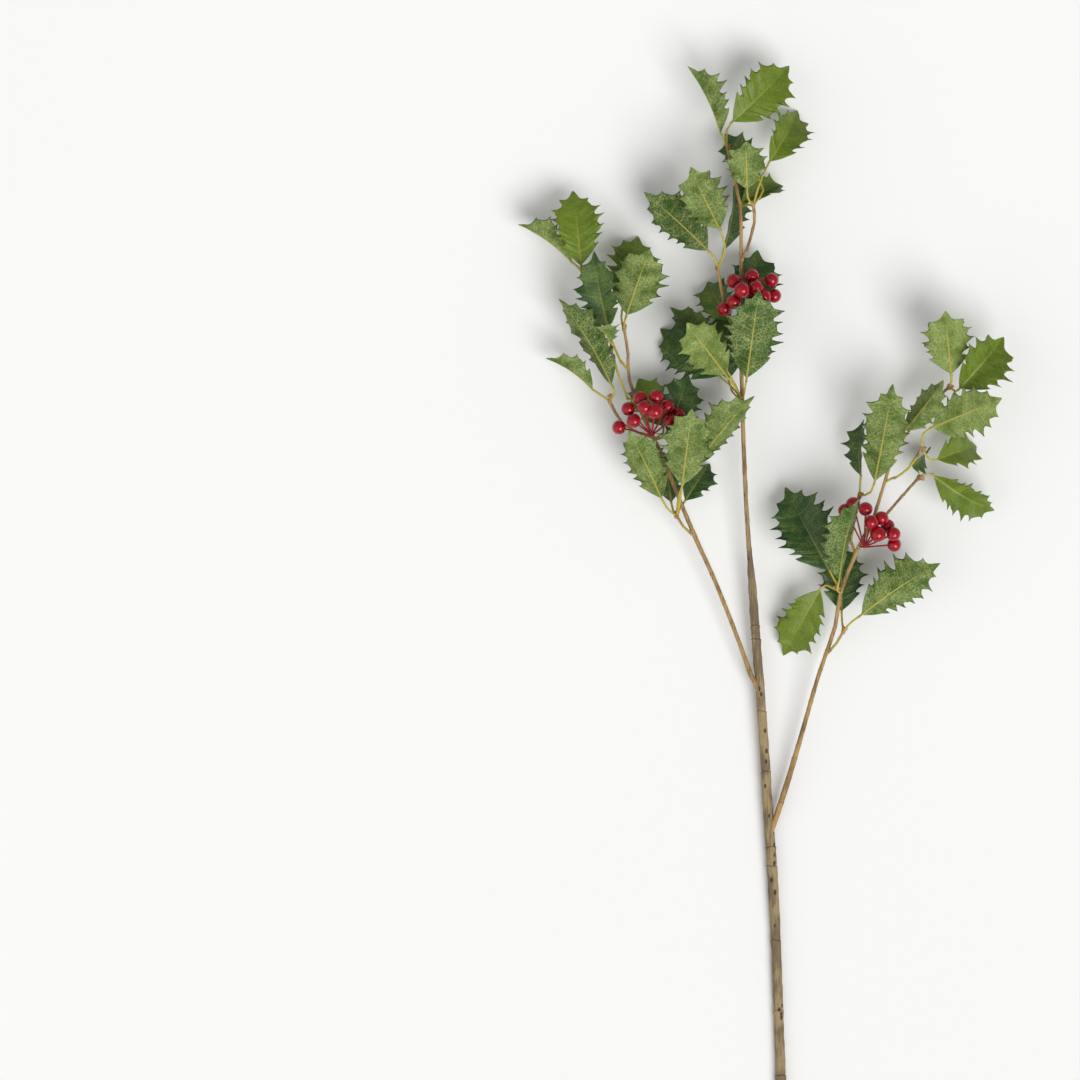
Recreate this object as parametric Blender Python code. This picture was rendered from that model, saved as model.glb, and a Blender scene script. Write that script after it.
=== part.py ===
"""Holly sprig: a cut stem lying down, with spiny leaves and three clusters of berries.

Metres, +Z up. The cut end points to -Y and the growing tip to +Y. The sprig lies on the
plane z = 0 on its stem and its lowest leaves, with the origin under the middle of its box.
"""

import math

import bmesh
import bpy
import numpy as np
from mathutils import Matrix, Vector

MM = 0.001

# Leaf blades, in mm and as shares of the blade's length.
MIDRIB_HALF_THICKNESS = 0.6
BASE_HALF_WIDTH = 1.3
SPINES = 5
FIRST_SPINE = 0.24
SPINE_STEP = 0.15
VALLEY_DEPTH = 0.28
BELLY_SHIFT = 1.1
BELLY_FULLNESS = 0.8

# Stalks and buds, in mm.
JOINT_GAP = 0.3
STALK_RADIUS = 0.85
STALK_STEPS = 3
STALK_BOW = 0.45
STALK_NECK = 2
BUD_RADIUS = 1.9
BUD_LENGTH = 1.5

# Berries, in mm.
BERRY_RADIUS = 5.3
BIG_BERRY_RADIUS = 5.9
BERRY_STALK_RADIUS = 0.6
KNUCKLE_RADIUS = 1.7

# Longest straight run along each kind of woody part, in mm.
STEM_STEP = 24
BRANCH_STEP = 18
TWIG_STEP = 12

# Colours as linear RGB.
BARK = (0.25, 0.17, 0.08)
TWIG = (0.36, 0.22, 0.10)
LEAF_GREEN = (0.09, 0.19, 0.03)
BERRY_RED = (0.47, 0.01, 0.02)

# Routes of the woody parts: x, y, z and radius in mm, from the root end to the tip.
MAIN_STEM = [
    (14, -403, 4, 4.0),
    (11, -315, 4, 3.9),
    (8, -240, 4.8, 3.9),
    (4, -180, 6.2, 3.8),
    (-1, -104, 9, 3.6),
    (-6, -40, 12, 3.5),
    (-9, 2, 14, 3.2),
    (-11, 24, 15.5, 2.1),
    (-14, 68, 19, 1.7),
    (-17, 143, 25, 1.7),
    (-18, 196, 30, 1.5),
    (-18, 254, 34, 1.5),
    (-19, 292, 36, 1.3),
    (-26, 320, 37, 1.2),
    (-28, 334, 37, 1.3),
]
LEFT_BRANCH = [
    (-10, -67, 13.5, 1.8),
    (-20, -39, 15, 1.6),
    (-37, 4, 18, 1.6),
    (-52, 37, 21, 1.7),
    (-65, 68, 25, 1.5),
    (-80, 105, 29, 1.6),
    (-92, 129, 31, 1.3),
    (-103, 158, 33, 1.2),
    (-104, 178, 33, 1.1),
    (-107, 197, 34, 1.2),
]
RIGHT_BRANCH = [
    (10.5, -172, 8.5, 2.2),
    (19, -145, 10.5, 2.2),
    (30, -107, 14, 1.8),
    (41, -68, 18, 1.6),
    (54, -29, 24, 1.5),
    (58, -3, 28, 1.5),
    (71, 30, 31, 1.6),
    (84, 57, 33, 1.3),
    (94, 90, 35, 1.2),
    (104, 112, 36, 1.1),
    (126, 139, 38, 1.0),
    (140, 153, 39, 1.1),
]
TWIGS = {
    "twig_tip_left": [(-23, 198, 33, 1.2), (-31, 218, 35, 1.2), (-36, 243, 37, 1.2)],
    "twig_tip_right": [(-14, 256, 37, 1.1), (-8, 278, 39, 1.1), (-9, 291, 41, 1.2)],
    "twig_left_outer": [(-91, 116, 27, 1.0), (-108, 125, 30, 1.0), (-118, 142, 33, 1.2)],
    "twig_left_inner": [(-104, 143, 36, 0.9), (-112, 164, 37, 0.9), (-117, 181, 37, 1.1)],
    "twig_left_top": [(-109, 171, 32, 0.9), (-124, 205, 31, 0.9), (-138, 236, 33, 1.2)],
    "twig_right_inner": [(66, 33, 27, 1.0), (67, 45, 29, 1.0), (72, 70, 33, 1.1)],
    "twig_right_outer": [(98, 83, 39, 0.9), (109, 91, 41, 0.9), (119, 106, 43, 1.1)],
    "twig_right_side": [(83, 45, 36, 1.0), (101, 66, 37, 1.1), (117, 84, 38, 1.1)],
}

# Short spurs that are one piece with their branch: the branch, then their points in mm.
SPURS = [
    ("left_branch", [(-53, 39, 21, 1.0), (-62, 47, 25, 1.0), (-67, 55, 27, 1.1)]),
    ("right_branch", [(46, -52, 20, 1.0), (55, -42, 26, 1.0), (60, -33, 28, 1.1)]),
]

# Leaf whorls: the woody part that carries the whorl, its centre in mm, and its leaves.
# A leaf is: base, tip, width (mm), roll, fold (degrees), arch, twist (mm, degrees).
# Roll turns the blade about its midrib: 0 lays the upper side up, 180 turns the underside up.
# Fold lifts both halves towards the upper side. Arch bows the midrib towards that side.
WHORLS = {
    "tip": ("main_stem", (-28, 334, 37), [
        ((-34, 346, 44), (-59, 397, 38), 34, 120, 30, 3, 0),
        ((-24, 355, 40), (19, 398, 22), 38, 5, 14, 5, 8),
    ]),
    "tip_right": ("twig_tip_right", (-9, 291, 41), [
        ((4, 325, 32), (26, 365, 0.6), 30, 15, 18, 4, 5),
        ((-14, 303, 52), (-15, 338, 68), 32, 182, 10, 3, 0),
        ((-5, 312, 25), (-30, 347, 14), 28, -5, 12, 4, 0),
        ((-17, 294, 20), (15, 307, 5), 28, -30, 30, 4, 10),
    ]),
    "tip_left": ("twig_tip_left", (-36, 243, 37), [
        ((-44, 257, 42), (-92, 301, 36), 36, 160, 18, 3, 0),
        ((-35, 273, 55), (-57, 319, 62), 38, 185, 10, 5, 0),
        ((-31, 258, 30), (-23, 325, 8), 30, 60, 18, 4, 0),
    ]),
    "centre_berry": ("main_stem", (-18, 196, 30), [
        ((-13, 208, 21), (-5, 258, 12), 40, 10, 12, 4, 0),
        ((-27, 204, 25), (-43, 234, 5), 30, -12, 12, 4, 0),
    ]),
    "centre": ("main_stem", (-17, 143, 25), [
        ((-14, 160, 44), (-5, 226, 68), 43, 180, 10, 4, 0),
        ((-30, 162, 46), (-60, 201, 64), 38, 182, 10, 3, 0),
        ((-35, 162, 22), (-79, 198, 0.6), 40, -8, 12, 3, 0),
        ((-38, 176, 34), (-72, 214, 24), 30, 30, 20, 3, 0),
        ((-27, 160, 9), (-35, 212, 8), 32, 5, 8, 2, 0),
    ]),
    "left_tip": ("twig_left_top", (-138, 236, 33), [
        ((-140, 246, 36), (-146, 303, 20), 39, 4, 14, 5, 0),
        ((-147, 248, 32), (-188, 277, 26), 30, 118, 32, 3, 0),
    ]),
    "left_inner": ("twig_left_inner", (-117, 181, 37), [
        ((-119, 198, 38), (-130, 256, 46), 34, -22, 16, 4, 0),
        ((-118, 187, 53), (-131, 198, 78), 24, 100, 30, 2, 0),
    ]),
    "left_crown": ("left_branch", (-107, 197, 34), [
        ((-108, 213, 28), (-96, 269, 0.6), 40, 8, 12, 5, 0),
        ((-105, 208, 44), (-88, 257, 60), 42, 180, 10, 4, 0),
    ]),
    "left_outer": ("twig_left_outer", (-118, 142, 33), [
        ((-117, 155, 40), (-157, 220, 45), 36, 138, 20, 4, 0),
        ((-131, 151, 30), (-167, 175, 28), 28, 120, 30, 3, 0),
    ]),
    "left_berry": ("left_branch", (-84, 113, 30), [
        ((-78, 124, 28), (-96, 160, 12), 32, 0, 12, 4, 0),
        ((-74, 120, 32), (-58, 163, 24), 34, 12, 14, 4, 0),
    ]),
    "left_low": ("left_branch", (-67, 55, 27), [
        ((-63, 79, 50), (-56, 136, 70), 40, 180, 10, 3, 0),
        ((-79, 69, 38), (-104, 120, 50), 33, 168, 12, 3, 0),
        ((-53, 92, 42), (-8, 146, 46), 40, -140, 26, 3, 0),
        ((-60, 67, 22), (-41, 95, 2), 25, -5, 14, 3, 0),
        ((-71, 66, 18), (-77, 104, 7), 26, 5, 10, 3, 0),
    ]),
    "right_tip": ("right_branch", (140, 153, 39), [
        ((141, 163, 48), (136, 210, 62), 38, 182, 10, 3, 0),
        ((148, 152, 42), (182, 191, 34), 44, 12, 28, 3, 0),
    ]),
    "right_crown": ("right_branch", (104, 112, 36), [
        ((106, 120, 47), (135, 158, 54), 28, 150, 20, 2, 0),
    ]),
    "right_outer": ("twig_right_outer", (119, 106, 43), [
        ((127, 122, 52), (179, 144, 60), 38, 178, 10, 4, 0),
        ((132, 98, 30), (163, 108, 0.6), 30, -10, 16, 4, 0),
        ((112, 94, 28), (124, 104, 3), 22, 60, 18, 2, 0),
    ]),
    "right_inner": ("twig_right_inner", (72, 70, 33), [
        ((83, 82, 52), (96, 155, 66), 37, 172, 14, 4, 0),
        ((73, 86, 34), (76, 129, 24), 26, -60, 16, 3, 0),
    ]),
    "right_side": ("twig_right_side", (117, 84, 38), [
        ((129, 85, 36), (176, 59, 14), 27, 20, 26, 6, 10),
    ]),
    "right_berry": ("right_branch", (58, -3, 28), [
        ((49, 14, 28), (16, 77, 14), 46, -6, 14, 5, 0),
        ((56, 7, 52), (70, 68, 74), 42, -128, 26, 3, 0),
        ((42, -2, 24), (15, -52, 0.8), 36, 5, 14, 4, 0),
    ]),
    "right_low": ("right_branch", (60, -33, 28), [
        ((74, -20, 38), (133, 19, 46), 40, 205, 16, 4, 0),
        ((59, -17, 20), (58, 36, 8), 36, 5, 12, 3, 0),
    ]),
}

# Berry clusters: the knuckle that the berry stalks fan out from, and each berry's centre.
# The last berry of each list is the big one.
BERRIES = {
    "berries_centre": ((-14, 208, 42), [
        (-24, 233, 46), (-10, 237, 42), (-7, 228, 52), (5, 234, 44), (-24, 217, 50),
        (-31, 212, 42), (-12, 222, 44), (-1, 221, 50), (7, 222, 41), (-18, 226, 56),
    ]),
    "berries_left": ((-86, 115, 36), [
        (-111, 122, 44), (-104, 136, 46), (-100, 127, 52), (-95, 144, 50), (-92, 137, 59),
        (-83, 145, 52), (-74, 138, 46), (-72, 127, 46), (-66, 132, 40), (-84, 134, 60),
    ]),
    "berries_right": ((75, 30, 37), [
        (61, 59, 37), (67, 64, 39), (76, 60, 50), (80, 50, 58), (88, 53, 52),
        (93, 47, 46), (97, 41, 54), (98, 33, 44), (85, 41, 56),
    ]),
}


def smooth_route(points, step_length):
    """Points of a Catmull-Rom curve through the rows, a step_length or less apart."""
    rows = [np.array(point, float) for point in points]
    rows = [2 * rows[0] - rows[1], *rows, 2 * rows[-1] - rows[-2]]
    route = []
    for before, start, end, after in zip(rows, rows[1:], rows[2:], rows[3:]):
        steps = math.ceil(np.linalg.norm(end[:3] - start[:3]) / step_length)
        for t in np.arange(steps) / steps:
            slope = (end - before) * t
            bend = (2 * before - 5 * start + 4 * end - after) * t**2
            turn = (3 * start - before - 3 * end + after) * t**3
            route.append(start + (slope + bend + turn) / 2)
    route.append(rows[-2])
    return route


def add_object(name, mesh):
    obj = bpy.data.objects.new(name, mesh)
    sprig.objects.link(obj)
    return obj


def paint(obj, colour, roughness):
    """Gives the object its own material."""
    material = bpy.data.materials.new(obj.name)
    material.use_nodes = True
    shader = material.node_tree.nodes["Principled BSDF"]
    shader.inputs["Base Color"].default_value = (*colour, 1)
    shader.inputs["Roughness"].default_value = roughness
    material.diffuse_color = (*colour, 1)
    obj.data.materials.clear()
    obj.data.materials.append(material)


def tube(name, route, roundness=2):
    """A round tube along (x, y, z, radius) rows in mm, as a closed mesh."""
    curve = bpy.data.curves.new(name, "CURVE")
    curve.dimensions = "3D"
    curve.bevel_depth = MM
    curve.bevel_resolution = roundness
    curve.use_fill_caps = True
    spline = curve.splines.new("POLY")
    spline.points.add(len(route) - 1)
    for point, (x, y, z, radius) in zip(spline.points, route):
        point.co = (x * MM, y * MM, z * MM, 1)
        point.radius = radius
    guide = add_object(name, curve)
    graph = bpy.context.evaluated_depsgraph_get()
    mesh = bpy.data.meshes.new_from_object(guide.evaluated_get(graph))
    bpy.data.objects.remove(guide)
    shape = bmesh.new()
    shape.from_mesh(mesh)
    bmesh.ops.remove_doubles(shape, verts=shape.verts, dist=0.01 * MM)
    bmesh.ops.recalc_face_normals(shape, faces=shape.faces)
    shape.to_mesh(mesh)
    shape.free()
    return add_object(name, mesh)


def ball(name, centre, radius, stretch=1, detail=1):
    """A faceted ball, stretched along Y."""
    shape = bmesh.new()
    place = Matrix.Translation(Vector(centre) * MM) @ Matrix.Diagonal((1, stretch, 1, 1))
    bmesh.ops.create_icosphere(shape, subdivisions=detail, radius=radius * MM, matrix=place)
    mesh = bpy.data.meshes.new(name)
    shape.to_mesh(mesh)
    shape.free()
    return add_object(name, mesh)


def fuse(name, pieces):
    """One solid made of overlapping pieces, which it replaces."""
    first, *others = pieces
    cutters = bpy.data.collections.new(name + "_pieces")
    for piece in others:
        sprig.objects.unlink(piece)
        cutters.objects.link(piece)
    union = first.modifiers.new("union", "BOOLEAN")
    union.operation = "UNION"
    union.operand_type = "COLLECTION"
    union.collection = cutters
    graph = bpy.context.evaluated_depsgraph_get()
    mesh = bpy.data.meshes.new_from_object(first.evaluated_get(graph))
    for piece in pieces:
        bpy.data.objects.remove(piece)
    bpy.data.collections.remove(cutters)
    solid = add_object(name, mesh)
    mesh.name = name
    mesh.shade_smooth()
    mesh.set_sharp_from_angle(angle=math.radians(50))
    return solid


def outline(share):
    """Half width over the spine tips at a share of the blade's length, 1 at the widest."""
    return math.sin(math.pi * share**BELLY_SHIFT) ** BELLY_FULLNESS


def blade_stations():
    """(share of the length, half width) pairs: a smooth foot, then spine tips and valleys."""
    stations = [(FIRST_SPINE / 2, outline(FIRST_SPINE / 2))]
    for spine in range(SPINES):
        point = FIRST_SPINE + spine * SPINE_STEP
        valley = point + SPINE_STEP / 2
        stations.append((point, outline(point)))
        stations.append((valley, outline(valley) * (1 - VALLEY_DEPTH)))
    return stations


def leaf_axes(base, tip, roll):
    """Unit vectors along the midrib, across the blade and out of its upper side."""
    along = (tip - base).normalized()
    level = Vector((0, 0, 1))
    level = (level - along * level.dot(along)).normalized()
    face = Matrix.Rotation(math.radians(roll), 3, along) @ level
    return along, along.cross(face), face


def leaf_blade(name, base, tip, width, roll, fold, arch, twist):
    """A thin blade, a loft of V-shaped sections from a blunt foot to a sharp tip."""
    base = Vector(base) * MM
    tip = Vector(tip) * MM
    along, across, face = leaf_axes(base, tip, roll)
    length = (tip - base).length
    rise = math.tan(math.radians(fold))
    turn = math.tan(math.radians(twist))

    def point(share, side, lift):
        height = arch * MM * 4 * share * (1 - share) + lift * MM
        height += rise * abs(side) + turn * side * (share - 0.5)
        return base + along * length * share + across * side + face * height

    shape = bmesh.new()
    rings = []
    half = width / 2 * MM * math.cos(math.radians(fold))
    stations = [(0, BASE_HALF_WIDTH * MM)]
    stations += [(share, size * half) for share, size in blade_stations()]
    for share, side in stations:
        thickness = MIDRIB_HALF_THICKNESS * (1 - share / 2)
        corners = [(-side, 0), (0, thickness), (side, 0), (0, -thickness)]
        rings.append([shape.verts.new(point(share, *corner)) for corner in corners])
    shape.faces.new(rings[0])
    for ring, following in zip(rings, rings[1:]):
        for i in range(4):
            k = (i + 1) % 4
            shape.faces.new((ring[i], ring[k], following[k], following[i]))
    end = shape.verts.new(point(1, 0, 0))
    for i in range(4):
        shape.faces.new((rings[-1][i], rings[-1][(i + 1) % 4], end))
    bmesh.ops.triangulate(shape, faces=shape.faces)
    bmesh.ops.recalc_face_normals(shape, faces=shape.faces)
    mesh = bpy.data.meshes.new(name)
    shape.to_mesh(mesh)
    shape.free()
    return add_object(name, mesh)


def stalk(name, start, base, tip):
    """A leaf stalk that bows out of the whorl and meets the blade's foot square on."""
    start = Vector(start)
    base = Vector(base)
    along = (Vector(tip) - base).normalized()
    end = base - along * JOINT_GAP
    neck = end - along * STALK_NECK
    span = neck - start
    reach = span.length * STALK_BOW
    outward = (span - along * span.dot(along) / 2).normalized()
    bends = [start, start + outward * reach, neck - along * reach, neck]
    route = []
    for step in range(STALK_STEPS + 1):
        t = step / STALK_STEPS
        weights = [(1 - t) ** 3, 3 * t * (1 - t) ** 2, 3 * t**2 * (1 - t), t**3]
        place = sum((bend * weight for bend, weight in zip(bends, weights)), Vector())
        route.append((*place, STALK_RADIUS))
    route.append((*end, STALK_RADIUS))
    return tube(name, route, 1)


def grown_pieces(carrier):
    """The spurs, buds and leaf stalks that grow out of one woody part."""
    pieces = []
    for branch, points in SPURS:
        if branch == carrier:
            pieces.append(tube(branch + "_spur", smooth_route(points, TWIG_STEP)))
    for whorl, (parent, centre, leaves) in WHORLS.items():
        if parent != carrier:
            continue
        pieces.append(ball(whorl + "_bud", centre, BUD_RADIUS, BUD_LENGTH))
        for number, (base, tip, *_) in enumerate(leaves, 1):
            pieces.append(stalk(f"{whorl}_stalk_{number}", centre, base, tip))
    return pieces


def woody_part(name, points, step_length, colour):
    """A stem, branch or twig in one solid with its spurs, buds and leaf stalks."""
    solid = fuse(name, [tube(name, smooth_route(points, step_length)), *grown_pieces(name)])
    paint(solid, colour, 0.7)


def berry_cluster(name, knuckle, centres):
    """Berries on thin stalks that fan out from one knuckle."""
    pieces = [ball(name, knuckle, KNUCKLE_RADIUS)]
    for number, centre in enumerate(centres, 1):
        radius = BIG_BERRY_RADIUS if number == len(centres) else BERRY_RADIUS
        middle = (Vector(knuckle) + Vector(centre)) / 2
        rise = Vector((0, 0, (Vector(centre) - Vector(knuckle)).length * 0.06))
        route = [(*point, BERRY_STALK_RADIUS) for point in (knuckle, middle + rise, centre)]
        pieces.append(tube(f"{name}_stalk_{number}", route, 1))
        pieces.append(ball(f"{name}_berry_{number}", centre, radius, detail=2))
    paint(fuse(name, pieces), BERRY_RED, 0.2)


for old in list(bpy.data.objects):
    bpy.data.objects.remove(old)
sprig = bpy.data.collections.new("holly_sprig")
bpy.context.scene.collection.children.link(sprig)

woody_part("main_stem", MAIN_STEM, STEM_STEP, BARK)
woody_part("left_branch", LEFT_BRANCH, BRANCH_STEP, TWIG)
woody_part("right_branch", RIGHT_BRANCH, BRANCH_STEP, TWIG)
for twig, points in TWIGS.items():
    woody_part(twig, points, TWIG_STEP, TWIG)
for whorl, (_, _, leaves) in WHORLS.items():
    for number, leaf in enumerate(leaves, 1):
        paint(leaf_blade(f"leaf_{whorl}_{number}", *leaf), LEAF_GREEN, 0.4)
for cluster, (knuckle, centres) in BERRIES.items():
    berry_cluster(cluster, knuckle, centres)
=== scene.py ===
import math

import bmesh
import bpy
import numpy as np
from mathutils import Matrix, Vector
from mathutils.bvhtree import BVHTree


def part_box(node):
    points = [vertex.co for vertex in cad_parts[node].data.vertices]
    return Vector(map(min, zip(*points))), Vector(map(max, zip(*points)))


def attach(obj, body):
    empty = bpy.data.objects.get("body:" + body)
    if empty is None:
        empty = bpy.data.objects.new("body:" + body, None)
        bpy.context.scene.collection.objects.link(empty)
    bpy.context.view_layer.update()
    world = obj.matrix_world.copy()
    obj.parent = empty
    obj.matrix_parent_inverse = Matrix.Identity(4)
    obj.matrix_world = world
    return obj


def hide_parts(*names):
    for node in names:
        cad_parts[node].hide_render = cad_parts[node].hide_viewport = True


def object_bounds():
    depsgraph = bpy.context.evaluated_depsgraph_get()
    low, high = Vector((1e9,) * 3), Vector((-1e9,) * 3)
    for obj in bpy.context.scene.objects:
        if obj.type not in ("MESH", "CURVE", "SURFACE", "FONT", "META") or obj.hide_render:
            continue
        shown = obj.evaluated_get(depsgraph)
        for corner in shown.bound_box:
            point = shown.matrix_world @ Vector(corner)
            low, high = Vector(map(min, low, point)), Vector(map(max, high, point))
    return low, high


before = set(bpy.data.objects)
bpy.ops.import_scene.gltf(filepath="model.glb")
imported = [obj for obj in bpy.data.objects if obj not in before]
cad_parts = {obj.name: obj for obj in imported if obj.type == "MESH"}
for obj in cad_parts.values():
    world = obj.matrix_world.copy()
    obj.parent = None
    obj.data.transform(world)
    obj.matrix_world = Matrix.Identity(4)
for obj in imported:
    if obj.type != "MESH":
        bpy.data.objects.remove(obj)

bl_info = {
    "name": "Holly Sprig",
    "version": (1, 0, 0),
    "blender": (4, 5, 0),
    "location": "View3D > Sidebar > Holly",
    "description": "Builds spiny leaves, bark, buds and berries over a sprig's frame",
    "category": "Object",
}

CAD_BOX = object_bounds()
MM = 0.001

# Rows of a blade's mesh from one spine to the next, what part of such a step its neck takes,
# and how many points it has across.
ROWS_PER_SPINE = 10
NECK_SPAN = 0.2
BLADE_POINTS_ACROSS = 25
FEWEST_SPINES, MOST_SPINES = 4, 7
# Half the width over which a blade's fold is rounded.
FOLD_ROUNDING = 1.2 * MM
# Points nearer than this are one point.
SAME_POINT = 0.002 * MM

# Each branch, twig and berry cluster, and the wood that it grows from.
GROWS_FROM = {
    "left_branch": "main_stem",
    "right_branch": "main_stem",
    "twig_tip_left": "main_stem",
    "twig_tip_right": "main_stem",
    "twig_left_top": "left_branch",
    "twig_left_inner": "left_branch",
    "twig_left_outer": "left_branch",
    "twig_right_inner": "right_branch",
    "twig_right_outer": "right_branch",
    "twig_right_side": "right_branch",
    "berries_centre": "main_stem",
    "berries_left": "left_branch",
    "berries_right": "right_branch",
}
WOOD = ["main_stem", *(name for name in GROWS_FROM if not name.startswith("berries"))]
BERRIES = [name for name in GROWS_FROM if name.startswith("berries")]
LEAVES = sorted(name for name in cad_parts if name.startswith("leaf"))

# Cracked rings in the bark of the main stem, as shares of its length from the cut end.
STEM_RINGS = (0.04, 0.105, 0.176, 0.251, 0.27, 0.346, 0.407, 0.48, 0.493, 0.6, 0.71)
# About how far apart the rings of a branch or twig are.
TWIG_RING_GAP = 26 * MM
# Wood up to this thick is a green stalk, and wood that is STALK_FADE thicker has no green left.
STALK_THICKNESS = 1.58 * MM
STALK_FADE = 0.2 * MM
# Rings stand out in full on wood this thick, and less on thinner wood.
RINGED_THICKNESS = 7 * MM
THICKEST_WOOD = 12 * MM

# The frame's faceted buds, stretched along Y, and how many facets have to agree on a centre.
BUD_RADIUS = 1.9 * MM
BUD_STRETCH = 1.5
BUD_FACETS = 3
# A bud is further than this from every leaf's foot, and on average within a stalk of its own.
SHORTEST_STALK = 8 * MM
LONGEST_STALK = 30 * MM
# How far the buds of a whorl lean to either side.
BUD_LEANS = (-0.6, 0.1, 0.7)

# The frame's faceted berries.
BERRY_RADII = (5.3 * MM, 5.9 * MM)
BERRY_FACETS = 8

# Rings and sides of the collar at the foot of a branch or twig.
COLLAR_RINGS = 9
COLLAR_SIDES = 12

# Height over the floor in which low leaves and low wood flatten out.
LEAF_SETTLING = 1.5 * MM
WOOD_SETTLING = 0.4 * MM

# How bright each leaf's green is, from 0 for deep to 1 for bright, set leaf by leaf: partly the
# leaf's own green and partly painted shade and light, darker for leaves lying in shade and brighter
# for lit ones. The rest are MIDDLE_TONE.
MIDDLE_TONE = 0.45
LEAF_TONES_AND_SHADE = {
    "leaf_tip_2": 0.95,
    "leaf_tip_right_1": 0.9,
    "leaf_tip_right_3": 0.1,
    "leaf_tip_right_4": 0.5,
    "leaf_tip_left_1": 0.0,
    "leaf_tip_left_3": 0.0,
    "leaf_centre_berry_1": 0.1,
    "leaf_centre_1": 0.05,
    "leaf_centre_2": 0.7,
    "leaf_centre_3": 0.0,
    "leaf_centre_4": 0.3,
    "leaf_centre_5": 0.0,
    "leaf_left_tip_1": 1.0,
    "leaf_left_inner_1": 0.15,
    "leaf_left_crown_1": 0.8,
    "leaf_left_outer_1": 0.1,
    "leaf_left_berry_1": 0.75,
    "leaf_left_berry_2": 0.0,
    "leaf_left_low_4": 0.0,
    "leaf_left_low_5": 0.0,
    "leaf_right_tip_1": 0.8,
    "leaf_right_tip_2": 0.75,
    "leaf_right_outer_1": 0.7,
    "leaf_right_outer_2": 0.95,
    "leaf_right_inner_2": 0.0,
    "leaf_right_side_1": 0.8,
    "leaf_right_berry_1": 0.0,
    "leaf_right_berry_2": 0.15,
    "leaf_right_berry_3": 0.95,
    "leaf_right_low_1": 0.3,
    "leaf_right_low_2": 0.0,
}

# How far leaves that lie close to their neighbours curl: the rest curl by 1.
CALM_CURL = 0.15
CALM_LEAVES = ("leaf_right_crown_1", "leaf_right_outer_1", "leaf_left_low_3", "leaf_right_berry_2")
# Sets how each leaf curls. Chosen to keep the leaves from crossing one another.
FIRST_SEED = 3.59


def colour_property(name, description, default):
    return bpy.props.FloatVectorProperty(
        name=name, description=description, default=default, subtype="COLOR", size=3, min=0, max=1
    )


def length_property(name, description, default):
    return bpy.props.FloatProperty(
        name=name, description=description, default=default, unit="LENGTH", precision=5
    )


def share_property(name, description, default):
    return bpy.props.FloatProperty(
        name=name, description=description, default=default, subtype="FACTOR"
    )


class HollyLeafSettings(bpy.types.PropertyGroup):
    spine_gap: length_property("Spine gap", "Length of blade for each spine of an edge", 0.0102)
    first_spine: share_property("First spine", "Where the smooth foot of the blade ends", 0.24)
    scallop: share_property("Scallop depth", "How far the edge dips between spines", 0.27)
    spine_spread: share_property("Spine spread", "Over 1 sets spines closer at the foot", 1.2)
    forward: share_property("Spine lean", "How far a spine points towards the tip", 0.016)
    tip_slope: share_property("Tip slope", "How wide the pointed tip of a blade opens", 3.5)
    vein_lean: share_property("Vein lean", "How far a side vein climbs to the edge", 0.12)
    fullness: share_property("Fullness", "Width of a blade against its frame", 1.08)
    neck_radius: length_property("Neck radius", "Where a blade meets its stalk", 0.0009)
    thickness: length_property("Blade thickness", "Thickness between the veins", 0.0004)
    rib: length_property("Midrib height", "How far the midrib stands out underneath", 0.0007)
    quilting: length_property("Quilting", "How far the blade swells between side veins", 0.00028)
    edge_wave: length_property("Edge wave", "How far the spines turn up and down", 0.0016)
    fold_gain: share_property("Fold", "How far a blade folds against its frame", 1.4)
    margin_roll: share_property("Margin roll", "How far the margins roll up or down", 0.4)
    # Each leaf's tone blends between the deep green and the bright or pale one, and that tone is
    # partly the leaf's own green and partly painted shade and light.
    deep_green: colour_property("Deep green", "Upper side of an old leaf", (0.017, 0.063, 0.008))
    bright_green: colour_property("Bright green", "Upper side of a fresh leaf", (0.13, 0.20, 0.003))
    under_deep: colour_property("Underside, deep", "Underside of an old leaf", (0.034, 0.080, 0.010))
    under_pale: colour_property("Underside, pale", "Underside of a fresh leaf", (0.19, 0.26, 0.052))
    net_colour: colour_property("Vein net", "Fine net of veins", (0.50, 0.58, 0.27))
    rib_colour: colour_property("Midrib", "Midrib and side veins", (0.42, 0.36, 0.07))


class HollyWoodSettings(bpy.types.PropertyGroup):
    stem_grain: length_property("Stem mesh size", "Mesh size of the main stem", 0.0005)
    twig_grain: length_property("Twig mesh size", "Mesh size of branches and twigs", 0.00035)
    furrow: length_property("Furrow depth", "Depth of the bark's furrows", 0.00035)
    ring: length_property("Ring height", "How far a cracked ring stands out", 0.0005)
    bark: colour_property("Bark", "Main stem", (0.175, 0.122, 0.070))
    bark_pale: colour_property("Pale bark", "Olive streaks in the stem", (0.33, 0.245, 0.125))
    bark_dark: colour_property("Dark bark", "Flecks and cracks", (0.045, 0.022, 0.015))
    twig: colour_property("Twig", "Branches and twigs", (0.43, 0.265, 0.095))
    twig_dark: colour_property("Dark twig", "Streaks in the twigs", (0.20, 0.11, 0.047))
    stalk: colour_property("Stalk", "Leaf stalks", (0.52, 0.42, 0.065))
    stalk_dark: colour_property("Dark stalk", "Mottling of leaf stalks", (0.31, 0.28, 0.045))
    bud: colour_property("Bud", "Bud scales", (0.24, 0.10, 0.03))
    bud_length: length_property("Bud length", "Length of a bud", 0.0042)


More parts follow.
